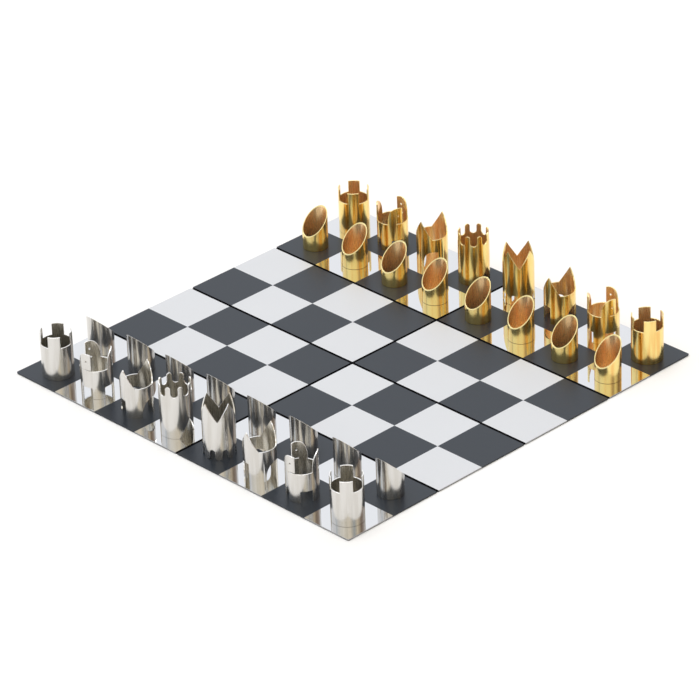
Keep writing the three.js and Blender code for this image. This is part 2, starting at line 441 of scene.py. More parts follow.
SILVER_WALL = TubeFinish("silver_wall", light=(0.71, 0.695, 0.67), deep=(0.63, 0.61, 0.575))
GOLD_WALL = TubeFinish("gold_wall", light=(0.95, 0.765, 0.30), deep=(0.90, 0.54, 0.17))
SILVER_BORE = TubeFinish(
    "silver_bore", light=(0.68, 0.65, 0.58), deep=(0.62, 0.59, 0.52),
    roughness=0.27, roughness_span=0.06, grain_bump=0.04, anisotropic=0.5, metallic=0.93,
)
GOLD_BORE = TubeFinish(
    "gold_bore", light=(1.0, 0.71, 0.37), deep=(0.97, 0.65, 0.345),
    roughness=0.27, roughness_span=0.06, grain_bump=0.04, anisotropic=0.5, metallic=0.88,
)
SILVER_CUT = SheetFinish(
    "silver_cut_edge", light=(0.97, 0.965, 0.95), deep=(0.90, 0.895, 0.88),
    roughness=0.27, metallic=1.0, bump=0.06,
)
GOLD_CUT = SheetFinish(
    "gold_cut_edge", light=(1.0, 0.86, 0.45), deep=(0.97, 0.78, 0.35),
    roughness=0.27, metallic=1.0, bump=0.06,
)
# Finishes of the foot: dark, as painted shade where the tube stands on the board.
SILVER_SHADED_FOOT = SheetFinish(
    "silver_foot_painted_shade", light=(0.14, 0.12, 0.09), deep=(0.09, 0.08, 0.06),
    roughness=0.55, metallic=0.6, bump=0.05,
)
GOLD_SHADED_FOOT = SheetFinish(
    "gold_foot_painted_shade", light=(0.20, 0.10, 0.03), deep=(0.13, 0.06, 0.02),
    roughness=0.55, metallic=0.6, bump=0.05,
)
MIRROR = SheetFinish(
    "mirror_plate", light=(0.82, 0.83, 0.85), deep=(0.79, 0.80, 0.82),
    roughness=0.025, roughness_span=0.03, metallic=1.0,
)
SATIN = SheetFinish(
    "satin_plate", light=(0.67, 0.685, 0.712), deep=(0.645, 0.66, 0.687),
    roughness=0.42, roughness_span=0.03, metallic=0.35,
)
COATING = SheetFinish(
    "dark_square_coating", light=(0.018, 0.026, 0.039), deep=(0.014, 0.021, 0.032),
    roughness=0.30, roughness_span=0.06, bump=0.02, ior=1.42,
)
PLATE_EDGE = SheetFinish(
    "plate_edge", light=(0.44, 0.44, 0.45), deep=(0.32, 0.32, 0.33),
    roughness=0.35, metallic=1.0, bump=0.05,
)
# Plate edges in the seams: near-black and nearly sheenless, painted shade of the gap.
SEAM_SHADE_EDGE = SheetFinish(
    "seam_edge_painted_shade", light=(0.004, 0.004, 0.005), deep=(0.007, 0.007, 0.008),
    roughness=0.6, bump=0.05, ior=1.05,
)
BACKING = SheetFinish(
    "black_backing", light=(0.004, 0.004, 0.005), deep=(0.009, 0.009, 0.010),
    roughness=0.6, roughness_span=0.12, bump=0.12, ior=1.1,
)
FLOOR = SheetFinish(
    "pale_floor", light=(0.93, 0.93, 0.93), deep=(0.925, 0.925, 0.925),
    roughness=0.85, roughness_span=0.05,
)

GRAIN = TubeNoise(
    around=2600.0, along=60.0, layer=0.0, detail=3.0, rough=0.6, gloss_share=0.55, tone_share=0.0
)
BANDS = TubeNoise(
    around=260.0, along=14.0, layer=3.7, detail=2.0, rough=0.5, gloss_share=0.30, tone_share=0.75
)
CLOUDS = TubeNoise(
    around=60.0, along=60.0, layer=9.1, detail=3.0, rough=0.5, gloss_share=0.15, tone_share=0.25
)
STREAK_TONES = (0.38, 0.62)
GRAIN_ALONG_TUBE = 0.25
TUBE_RELIEF = 0.00005

SHEET_SPECKS = 900.0
SHEET_CLOUDS = 22.0
SPECK_SHARE, CLOUD_SHARE = 0.6, 0.4
SHEET_DETAIL = 3.0
SPECK_ROUGH = 0.6
SHEET_RELIEF = 0.0001


class MaterialShop:
    """Makes each finish once."""

    def __init__(self) -> None:
        """Starts with nothing made."""
        self._made: dict[str, bpy.types.Material] = {}

    def get(self, finish: TubeFinish | SheetFinish) -> bpy.types.Material:
        """Material of a finish.

        Args:
            finish: What it should look like.

        Returns:
            The material, made on first use.
        """
        if finish.name not in self._made:
            material = bpy.data.materials.new(finish.name)
            material.use_nodes = True
            material.node_tree.nodes.clear()
            dress = self._dress_tube if isinstance(finish, TubeFinish) else self._dress_sheet
            dress(Graph(material.node_tree), finish)
            self._made[finish.name] = material
            log.info("material %s", finish.name)
        return self._made[finish.name]

    def _dress_tube(self, graph: Graph, finish: TubeFinish) -> None:
        """Fine grain along the tube, with broader bands and clouds under it.

        Args:
            graph: The material's empty tree.
            finish: What it should look like.
        """
        around, along, _ = graph.split(graph.node("ShaderNodeUVMap", uv_map="sheet"))
        grain, bands, clouds = (
            graph.noise(
                graph.join(around * part.around, along * part.along, part.layer),
                1.0, part.detail, part.rough,
            )
            for part in (GRAIN, BANDS, CLOUDS)
        )
        gloss = (
            grain * GRAIN.gloss_share + bands * BANDS.gloss_share + clouds * CLOUDS.gloss_share
        )
        tone = bands * BANDS.tone_share + clouds * CLOUDS.tone_share
        colour = graph.blend(graph.ease_in(tone, *STREAK_TONES), finish.deep, finish.light)
        constants = {
            "Metallic": finish.metallic,
            "Anisotropic": finish.anisotropic,
            "Anisotropic Rotation": GRAIN_ALONG_TUBE,
        }
        bump = self._bump(graph, grain, finish.grain_bump, TUBE_RELIEF)
        self._close(graph, finish, colour, gloss, bump, constants)

    def _dress_sheet(self, graph: Graph, finish: SheetFinish) -> None:
        """Fine specks over broad clouds.

        Args:
            graph: The material's empty tree.
            finish: What it should look like.
        """
        place = graph.node("ShaderNodeTexCoord", output="Object")
        specks = graph.noise(place, SHEET_SPECKS, SHEET_DETAIL, SPECK_ROUGH)
        clouds = graph.noise(place, SHEET_CLOUDS, SHEET_DETAIL)
        mixed = specks * SPECK_SHARE + clouds * CLOUD_SHARE
        colour = graph.blend(mixed, finish.deep, finish.light)
        constants = {"Metallic": finish.metallic, "IOR": finish.ior}
        bump = self._bump(graph, specks, finish.bump, SHEET_RELIEF)
        self._close(graph, finish, colour, mixed, bump, constants)

    @staticmethod
    def _bump(graph: Graph, height: Wire, strength: float, relief: float) -> Wire | None:
        """Relief of a surface.

        Args:
            graph: The material's tree.
            height: Height from 0 to 1.
            strength: How much of the relief shows.
            relief: Depth of the relief in metres.

        Returns:
            The bent normal, or None for a surface without relief.
        """
        if strength <= 0.0:
            return None
        inputs = {"Strength": strength, "Distance": relief, "Height": height}
        return graph.node("ShaderNodeBump", inputs)

    @staticmethod
    def _close(
        graph: Graph,
        finish: TubeFinish | SheetFinish,
        colour: Wire,
        gloss: Wire,
        normal: Wire | None,
        constants: dict[str, float],
    ) -> None:
        """Ends a material in its shader.

        Args:
            graph: The material's tree.
            finish: Gives the roughness and how far it strays.
            colour: The base colour.
            gloss: 0 where the surface is smoothest, 1 where it is roughest.
            normal: The bent normal, if there is one.
            constants: Values of other sockets by name.
        """
        rough = (gloss - 0.5) * (2.0 * finish.roughness_span) + finish.roughness
        inputs = {"Base Color": colour, "Roughness": rough, "Normal": normal, **constants}
        shader = graph.node("ShaderNodeBsdfPrincipled", inputs)
        graph.node("ShaderNodeOutputMaterial", {"Surface": shader})


# --------------------------------------------------------------------------
# Flat cut sheets
# --------------------------------------------------------------------------
def shifted(points: Iterable[Point], degrees: float) -> list[Point]:
    """Outline moved round the tube."""
    return [(a + degrees, z) for a, z in points]


def repeated(cut: Sequence[Point], count: int, turn: float = 0.0) -> list[list[Point]]:
    """Outline repeated evenly round the tube, from a turn in degrees on."""
    return [shifted(cut, FULL_TURN / count * i + turn) for i in range(count)]


def mirrored(right: Sequence[Point]) -> list[Point]:
    """Right half of an outline followed by its mirror image."""
    return [*right, *[(-a, z) for a, z in reversed(right)]]


def steps(first: float, last: float, count: int) -> list[float]:
    """Evenly spaced numbers, both ends included."""
    return [first + (last - first) * i / (count - 1) for i in range(count)]


class Outlines:
    """The cuts of each kind of chessman, drawn on the unrolled tube.

    Degrees run counter-clockwise seen from above, heights are millimetres.
    """

    CREST_POINTS = 5
    MANE_SWING = (4.0, 88.0, 22)
    MOUTH_POINTS = 9
    HOLLOW_SWING = (4.0, 90.0, 9)
    CROWN_SWING = (90.0, 4.0, 8)
    ARCH_SWING = (12.0, 90.0, 8)
    TOE_SWING = (90.0, 4.0, 9)
    PAWN_RIM_POINTS = 121

    def __init__(self, stock: TubeStock, cuts: CutDepths) -> None:
        """Keeps the tube and the sizes of the cuts."""
        self.stock = stock
        self.cuts = cuts

    def arc(self, degrees: float) -> float:
        """Length on the tube of an angle."""
        return math.radians(degrees) * self.stock.radius

    def degrees(self, length: float) -> float:
        """Angle on the tube of a length."""
        return math.degrees(length / self.stock.radius)

    def block(self, low: float, high: float) -> list[Point]:
        """Gap between two battlements or legs, from one height to another."""
        near, far = self.cuts.crenel_arc / 2, self.cuts.crenel_arc * 3 / 2
        return [(near, low), (far, low), (far, high), (near, high)]

    def mane(self, base: float) -> list[Point]:
        """Horse head from the top of its straight face to the foot of its mane.

        Args:
            base: Height of its jaw.

        Returns:
            The outline, left open.
        """
        c = self.cuts
        reach = c.head_arc - c.crest_arc
        crest = c.head_top - c.head_face
        points = [
            (-c.crest_arc * s, base + c.head_face + crest * math.sin(math.pi / 2 * s))
            for s in steps(0.0, 1.0, self.CREST_POINTS)
        ]
        power = 2.0 / c.head_fullness
        for swing in map(math.radians, steps(*self.MANE_SWING)):
            along = -c.crest_arc - reach * math.sin(swing) ** power
            points.append((along, base + c.head_top * math.cos(swing) ** power))
        points.append((-c.head_arc, base))
        return points

    def head_gap(self, base: float) -> list[Point]:
        """What is cut away between one horse head and the next.

        Args:
            base: Height of the jaws.

        Returns:
            The closed outline.
        """
        c = self.cuts
        lid = base + c.head_top + OVER
        back = shifted(list(reversed(self.mane(base)))[1:], c.head_pitch)
        foot = [(0.0, base), (c.head_pitch - c.head_arc, base)]
        return [*foot, *back, (c.head_pitch, lid), (0.0, lid)]

    def mouth(self, base: float) -> list[Point]:
        """Slot under a horse's jaw, round at its inner end.

        Args:
            base: Height of the jaw.

        Returns:
            The closed outline.
        """
        c = self.cuts
        r = c.mouth_height / 2
        inner = -c.mouth_arc + self.degrees(r)
        end = [
            (inner - self.degrees(r) * math.sin(swing), base + r + r * math.cos(swing))
            for swing in map(math.radians, steps(0.0, 180.0, self.MOUTH_POINTS))
        ]
        return [(c.mouth_over, base + c.mouth_height), *end, (c.mouth_over, base)]

    def eye(self, base: float) -> list[Point]:
        """Round hole through a horse head.

        Args:
            base: Height of the jaw.

        Returns:
            The closed outline.
        """
        c = self.cuts
        count = int(self.degrees(c.eye_radius) / CUT_PITCH)
        upper = []
        for i in range(-count, count + 1):
            reach = self.arc(i * CUT_PITCH)
            upper.append((i * CUT_PITCH - c.eye_arc, math.sqrt(c.eye_radius**2 - reach**2)))
        middle = base + c.eye_rise
        lower = [(a, middle - z) for a, z in reversed(upper)]
        return [(a, middle + z) for a, z in upper] + lower

    def quarter(self, half: float, swing: tuple[float, float, int]) -> list[Point]:
        """Quarter round as (part of the half width, drop from its crown).

        Args:
            half: Its half width in degrees.
            swing: The angles that it starts and ends at, and its number of points.

        Returns:
            The points.
        """
        rise = self.arc(half)
        return [
            (half * math.sin(t), rise * (1 - math.cos(t)))
            for t in map(math.radians, steps(*swing))
        ]

    def hollow(self, base: float, lid: float) -> list[Point]:
        """Hollow between two of the queen's rounded teeth.

        Args:
            base: Height of its floor.
            lid: Height that the cut runs up to.

        Returns:
            The closed outline.
        """
        c = self.cuts
        bowl = self.quarter(c.half_pitch - c.tooth_half, self.HOLLOW_SWING)
        crown = self.quarter(c.tooth_half, self.CROWN_SWING)
        right = [(a, base + z) for a, z in bowl]
        right += [(c.half_pitch - a, base + c.scallop - z) for a, z in crown]
        return mirrored([*right, (c.half_pitch, base + c.scallop), (c.half_pitch, lid)])

    def arch(self) -> list[Point]:
        """Round-headed cut up between two of the king's feet.

        Returns:
            The closed outline.
        """
        c = self.cuts
        bowl = self.quarter(c.half_pitch - c.tooth_half, self.ARCH_SWING)
        crown = self.quarter(c.tooth_half, self.TOE_SWING)
        right = [(c.half_pitch - a, z) for a, z in bowl]
        right += [(a, c.scallop - z) for a, z in crown]
        return mirrored([(right[0][0], -OVER), *right])

    def rook(self, height: float) -> list[list[Point]]:
        """Four square battlements."""
        return repeated(self.block(height - self.cuts.crenel, height + OVER), 4)

    def knight(self, height: float) -> list[list[Point]]:
        """Three horse heads on four square legs.

        Args:
            height: The tube's height.

        Returns:
            The closed outlines.
        """
        c = self.cuts
        base = height - c.head_top
        cuts = repeated(self.block(-OVER, c.crenel), 4)
        for part in (self.head_gap(base), self.mouth(base), self.eye(base)):
            cuts += repeated(part, 3, c.heads_turn)
        return cuts

    def bishop(self, height: float) -> list[list[Point]]:
        """Two peaks on three legs. The gaps between the legs are shaped like a horse head.

        Args:
            height: The tube's height.

        Returns:
            The closed outlines.
        """
        c = self.cuts
        base, lid = height - c.mitre, height + OVER
        gap = [(0.0, -OVER), *self.mane(0.0), (-c.head_arc, -OVER)]
        near, far, end = c.valley
        valley = [(0.0, height), (near, base), (far, base), (end, height), (end, lid), (0.0, lid)]
        return repeated(gap, 3) + repeated(valley, 2, c.mitres_turn)

    def queen(self, height: float) -> list[list[Point]]:
        """Eight rounded teeth on two legs with pointed arches between them.

        Args:
            height: The tube's height.

        Returns:
            The closed outlines.
        """
        c = self.cuts
        half = c.arch_half
        arch = [(-half, -OVER), (half, -OVER), (half, 0.0), (0.0, c.mitre), (-half, 0.0)]
        hollow = self.hollow(height - c.scallop, height + OVER)
        return repeated(arch, 2) + repeated(hollow, 8, c.teeth_turn)

    def king(self, height: float) -> list[list[Point]]:
        """Four tall peaks on eight rounded feet.

        Args:
            height: The tube's height.

        Returns:
            The closed outlines.
        """
        c = self.cuts
        half, base, lid = c.arch_half, height - c.crown, height + OVER
        notch = [(-half, height), (0.0, base), (half, height), (half, lid), (-half, lid)]
        return repeated(self.arch(), 8, c.half_pitch) + repeated(notch, 4)

    def pawn(self, height: float) -> list[list[Point]]:
        """One slanted cut.

        Args:
            height: The tube's height.

        Returns:
            The closed outline.
        """
        lid = height + OVER
        rim = [
            (a, self.pawn_rim(a, self.stock.radius, height))
            for a in steps(0.0, FULL_TURN, self.PAWN_RIM_POINTS)
        ]
        return [[*rim, (FULL_TURN, lid), (0.0, lid)]]

    def pawn_rim(self, angle: float, radius: float, height: float) -> float:
        """Height of a pawn's slanted cut at an angle and a distance from the axis."""
        middle = height - self.cuts.pawn_slope * self.stock.radius
        return middle + self.cuts.pawn_slope * radius * math.sin(math.radians(angle))

    def cut_list(self, man: Man, height: float) -> list[list[Point]]:
        """All outlines cut from a tube of a given height.

        Args:
            man: Which chessman.
            height: The tube's height in millimetres.

        Returns:
            Closed outlines on the unrolled tube.
        """
        drawings = {
            Man.ROOK: self.rook,
            Man.KNIGHT: self.knight,
            Man.BISHOP: self.bishop,
            Man.QUEEN: self.queen,
            Man.KING: self.king,
            Man.PAWN: self.pawn,
        }
        return drawings[man](height)


# A corner of a flat solid: its border, its height, and 0 outside or 1 inside.
Corner = tuple[int, float, int]


@dataclass(frozen=True)
class Edge:
    """A straight stretch of outline across one column of the sheet."""

    left: float
    right: float

    @property
    def middle(self) -> float:
        """Height halfway across the column."""
        return (self.left + self.right) / 2


@dataclass
class FlatSolid:
    """Corners and faces of a flat sheet while it is put together."""

    points: list[Vector] = field(default_factory=list)
    index: dict[Corner, int] = field(default_factory=dict)
    faces: list[list[int]] = field(default_factory=list)
    kinds: list[int] = field(default_factory=list)

    def corner(self, key: Corner, place: Place) -> None:
        """Adds a corner."""
        self.index[key] = len(self.points)
        self.points.append(Vector(place))

    def face(self, ring: Iterable[Corner], kind: FaceKind) -> None:
        """Adds a face, unless its corners have run together.

        Args:
            ring: Its corners in order.
            kind: Where on the tube it belongs.
        """
        loop = list(dict.fromkeys(self.index[corner] for corner in ring))
        if len(loop) > 2:
            self.faces.append(loop)
            self.kinds.append(kind.value)

    def mesh(self, name: str) -> bpy.types.Mesh:
        """Mesh whose faces carry their kind, and whose loops a flat map in metres.

        Args:
            name: Name of the mesh.

        Returns:
            The mesh.
        """
        mesh = bpy.data.meshes.new(name)
        mesh.from_pydata(self.points, [], self.faces)
        mesh.attributes.new("kind", "INT", "FACE").data.foreach_set("value", self.kinds)
        flat = mesh.uv_layers.new(name="sheet")
        for loop in mesh.loops:
            p = self.points[loop.vertex_index]
            flat.data[loop.index].uv = ((p.x + p.y) * MM, p.z * MM)
        return mesh


@dataclass
class CutSheet:
    """Tube wall laid flat, split into columns that no outline corner falls inside."""

    stock: TubeStock
    height: float
    cuts: list[list[Point]]
    inner_height: Callable[[float, float], float] | None = None
    borders: list[float] = field(default_factory=list)
    cells: list[list[tuple[Edge, Edge]]] = field(default_factory=list)

    TINY = 1e-4
    ANGLE_DIGITS = 5
    HEIGHT_DIGITS = 4

    def __post_init__(self) -> None:
        """Finds the borders of the columns, and what stands in each column."""
        snapped = [[(round(a / CUT_PITCH) * CUT_PITCH, z) for a, z in cut] for cut in self.cuts]
        turns = (-FULL_TURN, 0.0, FULL_TURN)
        copies = [shifted(cut, turn) for cut in snapped for turn in turns]
        copies = [
            c for c in copies if max(a for a, _ in c) > 0.0 and min(a for a, _ in c) < FULL_TURN
        ]
        angles = {round(a, self.ANGLE_DIGITS) for c in copies for a, _ in c}
        corners = sorted(a for a in angles if self.TINY < a < FULL_TURN - self.TINY)
        step = FULL_TURN / self.stock.columns
        self.borders = [0.0]
        for mark in (*corners, FULL_TURN):
            start = self.borders[-1]
            gap = mark - start
            if gap >= self.TINY:
                parts = max(1, round(gap / step))
                self.borders += [start + gap * i / parts for i in range(1, parts + 1)]
        pairs = zip(self.borders, self.borders[1:])
        self.cells = [self._column(copies, left, right) for left, right in pairs]

    def _column(
        self, copies: list[list[Point]], left: float, right: float
    ) -> list[tuple[Edge, Edge]]:
        """Stretches of wall left standing in one column.

        Args:
            copies: Outlines of the cuts.
            left: The column's left border in degrees.
            right: Its right border.

        Returns:
            Lower and upper edge of each stretch, lowest first.
        """
        middle = (left + right) / 2
        spans: list[tuple[Edge, Edge]] = []
        for cut in copies:
            crossings: list[Edge] = []
            for (x0, z0), (x1, z1) in zip(cut, [*cut[1:], cut[0]]):
                if min(x0, x1) < middle < max(x0, x1):
                    slope = (z1 - z0) / (x1 - x0)
                    crossings.append(Edge(z0 + (left - x0) * slope, z0 + (right - x0) * slope))
            crossings.sort(key=lambda edge: edge.middle)
            spans += zip(crossings[::2], crossings[1::2])
        spans.sort(key=lambda span: span[0].middle)
        standing: list[tuple[Edge, Edge]] = []
        low = Edge(0.0, 0.0)
        for start, end in spans:
            if start.middle > low.middle + self.TINY:
                standing.append((low, start))
            if end.middle > low.middle:
                low = end
        if low.middle < self.height - self.TINY:
            standing.append((low, Edge(self.height, self.height)))
        return standing

    def _level(self, height: float) -> float:
        """Height as corners are told apart by it."""
        return round(height, self.HEIGHT_DIGITS)

    def _stacks(self) -> list[list[float]]:
        """Heights of the corners on each border.

        Returns:
            One list for each border, lowest first. The two ends are alike.
        """
        levels: list[set[float]] = [set() for _ in self.borders]
        for i, cells in enumerate(self.cells):
            for low, top in cells:
                levels[i] |= {self._level(low.left), self._level(top.left)}
                levels[i + 1] |= {self._level(low.right), self._level(top.right)}
        levels[0] = levels[-1] = levels[0] | levels[-1]
        return [sorted(level) for level in levels]

    def mesh(self, name: str) -> bpy.types.Mesh:
        """Flat solid of the sheet, in millimetres.

        X is the length round the tube, Y the depth below its outer face and Z
        the height.

        Args:
            name: Name of the mesh.

        Returns:
            The mesh, with both ends open for the seam.
        """
        stacks = self._stacks()
        solid = FlatSolid()
        for i, (angle, stack) in enumerate(zip(self.borders, stacks)):
            x = math.radians(angle) * self.stock.radius
            for z in stack:
                inner = self.inner_height(angle, z) if self.inner_height else z
                solid.corner((i, z, 0), (x, 0.0, z))
                solid.corner((i, z, 1), (x, self.stock.wall, inner))
        self._add_walls(solid, stacks)
        self._add_sides(solid, stacks)
        return solid.mesh(name)

    def _add_walls(self, solid: FlatSolid, stacks: list[list[float]]) -> None:
        """Adds wall, bore, and the cuts that run across a column.

        Args:
            solid: Takes the faces.
            stacks: Heights of the corners on each border.
        """
        for i, cells in enumerate(self.cells):
            j = i + 1
            for low, top in cells:
                l0, l1 = self._level(low.left), self._level(top.left)
                r0, r1 = self._level(low.right), self._level(top.right)
                left = [z for z in stacks[i] if l0 <= z <= l1]
                right = [z for z in stacks[j] if r0 <= z <= r1]
                ring = [(j, z) for z in right] + [(i, z) for z in reversed(left)]
                solid.face([(c, z, 0) for c, z in ring], FaceKind.WALL)
                solid.face([(c, z, 1) for c, z in reversed(ring)], FaceKind.BORE)
                solid.face([(i, l1, 0), (j, r1, 0), (j, r1, 1), (i, l1, 1)], FaceKind.CUT)
                solid.face([(j, r0, 0), (i, l0, 0), (i, l0, 1), (j, r0, 1)], FaceKind.CUT)

    def _add_sides(self, solid: FlatSolid, stacks: list[list[float]]) -> None:
        """Adds the upright cuts, which run along a border.

        Args:
            solid: Takes the faces.
            stacks: Heights of the corners on each border.
        """
        for i, after in enumerate(self.cells):
            before = self.cells[i - 1]
            for z0, z1 in zip(stacks[i], stacks[i][1:]):
                middle = (z0 + z1) / 2
                has_left = any(low.right < middle < top.right for low, top in before)
                has_right = any(low.left < middle < top.left for low, top in after)
                if has_left != has_right:
                    ring = [(i, z0, 0), (i, z1, 0), (i, z1, 1), (i, z0, 1)]
                    solid.face(ring if has_left else ring[::-1], FaceKind.CUT)


# --------------------------------------------------------------------------
# Geometry Nodes
# --------------------------------------------------------------------------
class GeometryTool:
    """A Geometry Nodes tree with named inputs that is run on one mesh."""

    def __init__(self, name: str, numbers: dict[str, float], materials: Sequence[str]) -> None:
        """Makes the tree and its inputs, then lays it out.

        Args:
            name: The tree's name.
            numbers: Names and defaults of its number inputs.
            materials: Names of its material inputs.
        """
        self.tree = bpy.data.node_groups.new(name, "GeometryNodeTree")
        face = self.tree.interface
        for direction in ("INPUT", "OUTPUT"):
            face.new_socket("Geometry", in_out=direction, socket_type="NodeSocketGeometry")
        self.keys: dict[str, str] = {}
        for label, value in numbers.items():
            socket = face.new_socket(label, in_out="INPUT", socket_type="NodeSocketFloat")
            socket.default_value = value
            self.keys[label] = socket.identifier
        for label in materials:
            socket = face.new_socket(label, in_out="INPUT", socket_type="NodeSocketMaterial")
            self.keys[label] = socket.identifier
        self.graph = Graph(self.tree)
        self.source = self.graph.node("NodeGroupInput")
        self.build()

    def value(self, label: str) -> Wire:
        """The wire of a named input."""
        return self.graph.outlet(self.source, label)

    def build(self) -> None:
        """Lays out the tree. Each tool does this its own way."""
        raise NotImplementedError

    def realise(self, geometry: Wire) -> Wire:
        """Geometry with its instances made real."""
        return self.graph.node("GeometryNodeRealizeInstances", [geometry])

    def paint(self, geometry: Wire, label: str, where: Wire | None = None) -> Wire:
        """Gives faces a material.

        Args:
            geometry: What is painted.
            label: Name of the material input.
            where: One on the faces that take it. All do when it is left out.

        Returns:
            The painted geometry.
        """
        inputs = {"Geometry": geometry, "Selection": where, "Material": self.value(label)}
        return self.graph.node("GeometryNodeSetMaterial", inputs)

    def run(self, mesh: bpy.types.Mesh, **values: object) -> bpy.types.Mesh:
        """Runs the tree on a mesh and hands back plain geometry.

        Args:
            mesh: What goes in. It is used up.
            **values: Inputs by name, with underscores for spaces.

        Returns:
            A mesh with no modifier on it.
        """
        carrier = bpy.data.objects.new("carrier", mesh)
        bpy.context.scene.collection.objects.link(carrier)
        modifier = carrier.modifiers.new(self.tree.name, "NODES")
        modifier.node_group = self.tree
        for label, value in values.items():
            modifier[self.keys[label.replace("_", " ")]] = value
        graph = bpy.context.evaluated_depsgraph_get()
        graph.update()
        made = bpy.data.meshes.new_from_object(carrier.evaluated_get(graph), depsgraph=graph)
        carrier.modifiers.clear()
        bpy.data.objects.remove(carrier)
        bpy.data.meshes.remove(mesh)
        return made


class RollSheet(GeometryTool):
    """Rolls a flat sheet into a tube about the Z axis and welds its seam."""

    SIZES = {"Outer Radius": 12.5, "Turn": 0.0, "Weld": 0.002}

    def __init__(self) -> None:
        """Makes the tree, with its sizes in millimetres."""
        super().__init__("RollSheet", self.SIZES, ["Wall"])

    def build(self) -> None:
        """Angle is length over radius, distance from the axis is radius less depth."""
        graph = self.graph
        length, depth, height = graph.split(graph.node("GeometryNodeInputPosition"))
        radius = self.value("Outer Radius")
        angle = length / radius + self.value("Turn")
        reach = radius - depth
        place = graph.join(reach * angle.cosine(), reach * angle.sine(), height)
        inputs = {"Geometry": self.source, "Position": place}
        rolled = graph.node("GeometryNodeSetPosition", inputs)
        inputs = {"Geometry": rolled, "Distance": self.value("Weld")}
        welded = graph.node("GeometryNodeMergeByDistance", inputs)
        graph.node("NodeGroupOutput", [self.paint(self.realise(welded), "Wall")])


class CoatSquares(GeometryTool):
    """Coats every second square of a plate, and tells its upper face, rim and seams apart."""

    SIZES = {
        "Square": 0.045, "Files": 4.0, "Ranks": 2.0, "Origin X": 0.0, "Origin Y": 0.0,
        "Reach X": 0.18, "Reach Y": 0.18,
    }
    FACES_UP = 0.999
    KEEP_IN = 0.001

    def __init__(self) -> None:
        """Makes the tree, with its sizes in metres."""
        super().__init__("CoatSquares", self.SIZES, ["Polished", "Coated", "Edge", "Seam"])

    def build(self) -> None:
        """File and rank come from a face's middle; where their sum is even it is coated.

        Faces outside the reach lie on the rim of the board, other edges in a seam. Seam edges
        get a near-black finish: painted shade of the gap between panels.
        """
        graph = self.graph
        x, y, _ = graph.split(graph.node("GeometryNodeInputPosition"))
        _, _, up = graph.split(graph.node("GeometryNodeInputNormal"))
        dark = (self._count(x, "Origin X", "Files") + self._count(y, "Origin Y", "Ranks")).even()
        top = up.above(self.FACES_UP)
        across = (x / self.value("Reach X")).power(2.0).above(1.0)
        along = (y / self.value("Reach Y")).power(2.0).above(1.0)
        rim = across.either(along)
        # Every face starts with the seam finish, painted shade; rim, top and coat then take
        # theirs.
        painted = self.paint(self.realise(self.source), "Seam")
        painted = self.paint(painted, "Edge", rim)
        painted = self.paint(painted, "Polished", top)
        painted = self.paint(painted, "Coated", top.either(rim) * dark)
        graph.node("NodeGroupOutput", [painted])

    def _count(self, place: Wire, origin: str, number: str) -> Wire:
        """Number of the square that a place falls in, kept on the plate.

        Args:
            place: X or Y.
            origin: Name of the input that says where the first square starts.
            number: Name of the input that says how many squares there are.

        Returns:
            The square's number, from 0 on.
        """
        squares = (place - self.value(origin)) / self.value("Square")
        last = self.value(number) - self.KEEP_IN
        inputs = {"Value": squares, "Min": self.KEEP_IN, "Max": last}
        return self.graph.node("ShaderNodeClamp", inputs).floored()


# --------------------------------------------------------------------------
# Pieces
# --------------------------------------------------------------------------
class Workshop:
    """Turns meshes into named pieces on the frame."""

    def __init__(self, shop: MaterialShop) -> None:
        """Keeps the materials at hand."""
        self.shop = shop

    def place(
        self, name: str, mesh: bpy.types.Mesh, node: str, body: str, slot: str
    ) -> bpy.types.Object:
        """Puts a finished mesh in place of a CAD node.

        Args:
            name: Name of the piece.
            mesh: Its geometry in the row frame.
            node: The CAD node that it stands for.
            body: The body that it rides on.
            slot: The record's material slot; not used.

        Returns:
            The new object.
        """
        mesh.name = name
        piece = bpy.data.objects.new(name, mesh)
        bpy.context.scene.collection.objects.link(piece)
        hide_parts(node)
        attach(piece, body)
        log.info("%s: %d faces on %s", name, len(mesh.polygons), body)
        return piece


def bevel(
    bm: bmesh.types.BMesh,
    edges: list[bmesh.types.BMEdge],
    reach: float,
    segments: int,
    clamp: bool = False,
) -> list[bmesh.types.BMFace]:
    """Rounds edges over.

    Args:
        bm: The mesh that they are in.
        edges: The edges.
        reach: How far from each edge the rounding starts.
        segments: How many faces it has across.
        clamp: Whether it stops where two roundings meet.

    Returns:
        The new faces.
    """
    return bmesh.ops.bevel(
        bm, geom=edges, offset=reach, offset_type="OFFSET", segments=segments, profile=0.5,
        affect="EDGES", clamp_overlap=clamp,
    )["faces"]


def crease(bm: bmesh.types.BMesh, degrees: float = 22.0) -> None:
    """Smooth faces everywhere, sharp edges where faces turn more than an angle.

    Args:
        bm: The mesh.
        degrees: The angle.
    """
    limit = math.radians(degrees)
    for face in bm.faces:
        face.smooth = True
    for edge in bm.edges:
        edge.smooth = len(edge.link_faces) != 2 or edge.calc_face_angle(0.0) < limit


